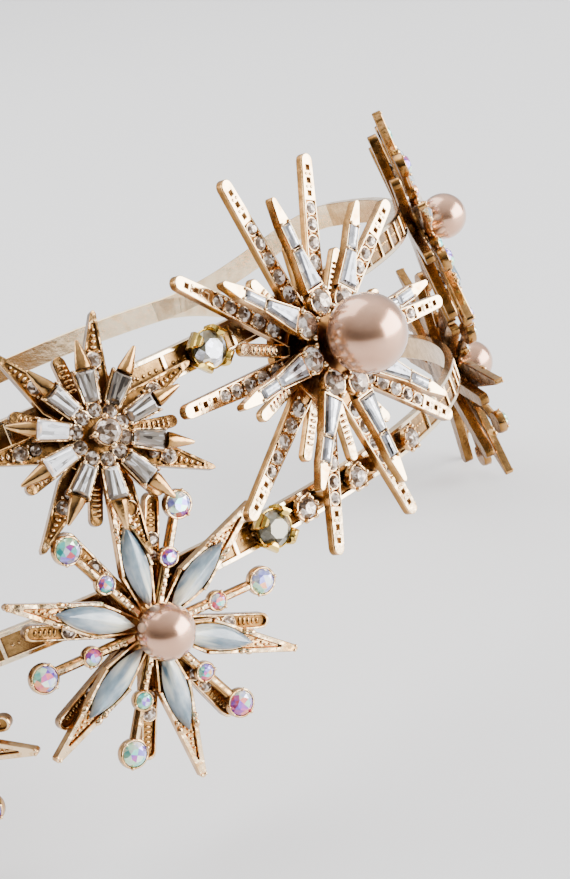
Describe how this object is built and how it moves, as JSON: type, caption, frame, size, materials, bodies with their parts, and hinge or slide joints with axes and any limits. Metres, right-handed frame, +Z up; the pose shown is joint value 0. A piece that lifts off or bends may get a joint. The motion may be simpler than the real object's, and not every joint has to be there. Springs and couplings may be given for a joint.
{
  "type": "bridal crown",
  "caption": "Low open crown of two strips that join at the back, set all round the front with jewelled starbursts holding pearls, opal navettes, baguettes and small crystals.",
  "frame": {"origin": "middle of the footprint, on the surface that the crown stands on by itself", "axes": "+Z up from that surface, the large burst at the front faces -Y and leans back with the crown, +X to the viewer's right of it"},
  "size_m": [0.1662, 0.1706, 0.0828],
  "materials": {
    "rose_gold": "polished rose gold plating, antiqued in the recesses",
    "band_metal": "polished rose gold plating",
    "yellow_gold_claws": "raw yellow brass, slightly dull",
    "pearl": "champagne rose imitation pearl",
    "opal_glass": "milky blue-grey cut glass",
    "rainbow_glass": "cut glass with an iridescent coating",
    "clear_glass": "clear cut glass, foil-backed"
  },
  "bodies": {
    "root": {"upper_strand": "band_metal", "lower_strand": "band_metal", "back_band": "band_metal", "opal_left_back": "rose_gold", "opal_left_front": "rose_gold", "opal_left_pearl": "pearl", "opal_left_navettes": "opal_glass", "opal_left_rainbow": "rainbow_glass", "opal_left_pave": "clear_glass", "opal_right_back": "rose_gold", "opal_right_front": "rose_gold", "opal_right_pearl": "pearl", "opal_right_navettes": "opal_glass", "opal_right_rainbow": "rainbow_glass", "opal_right_pave": "clear_glass", "opal_far_left_back": "rose_gold", "opal_far_left_front": "rose_gold", "opal_far_left_pearl": "pearl", "opal_far_left_navettes": "opal_glass", "opal_far_left_rainbow": "rainbow_glass", "opal_far_left_pave": "clear_glass", "opal_far_right_back": "rose_gold", "opal_far_right_front": "rose_gold", "opal_far_right_pearl": "pearl", "opal_far_right_navettes": "opal_glass", "opal_far_right_rainbow": "rainbow_glass", "opal_far_right_pave": "clear_glass", "baguette_star_back": "rose_gold", "baguette_star_front": "rose_gold", "baguette_star_crystal": "clear_glass", "baguette_star_baguettes": "clear_glass", "baguette_star_round_stones": "clear_glass", "baguette_star_pave": "clear_glass", "burst_bars": "rose_gold", "burst_rays": "rose_gold", "burst_pearl": "pearl", "burst_pave": "clear_glass", "burst_baguettes": "clear_glass", "burst_round_stones": "clear_glass", "link_setting_upper": "yellow_gold_claws", "link_crystal_upper": "clear_glass", "link_setting_lower": "yellow_gold_claws", "link_crystal_lower": "clear_glass", "link_small_settings": "rose_gold", "link_small_crystals": "clear_glass"}
  },
  "joints": []
}
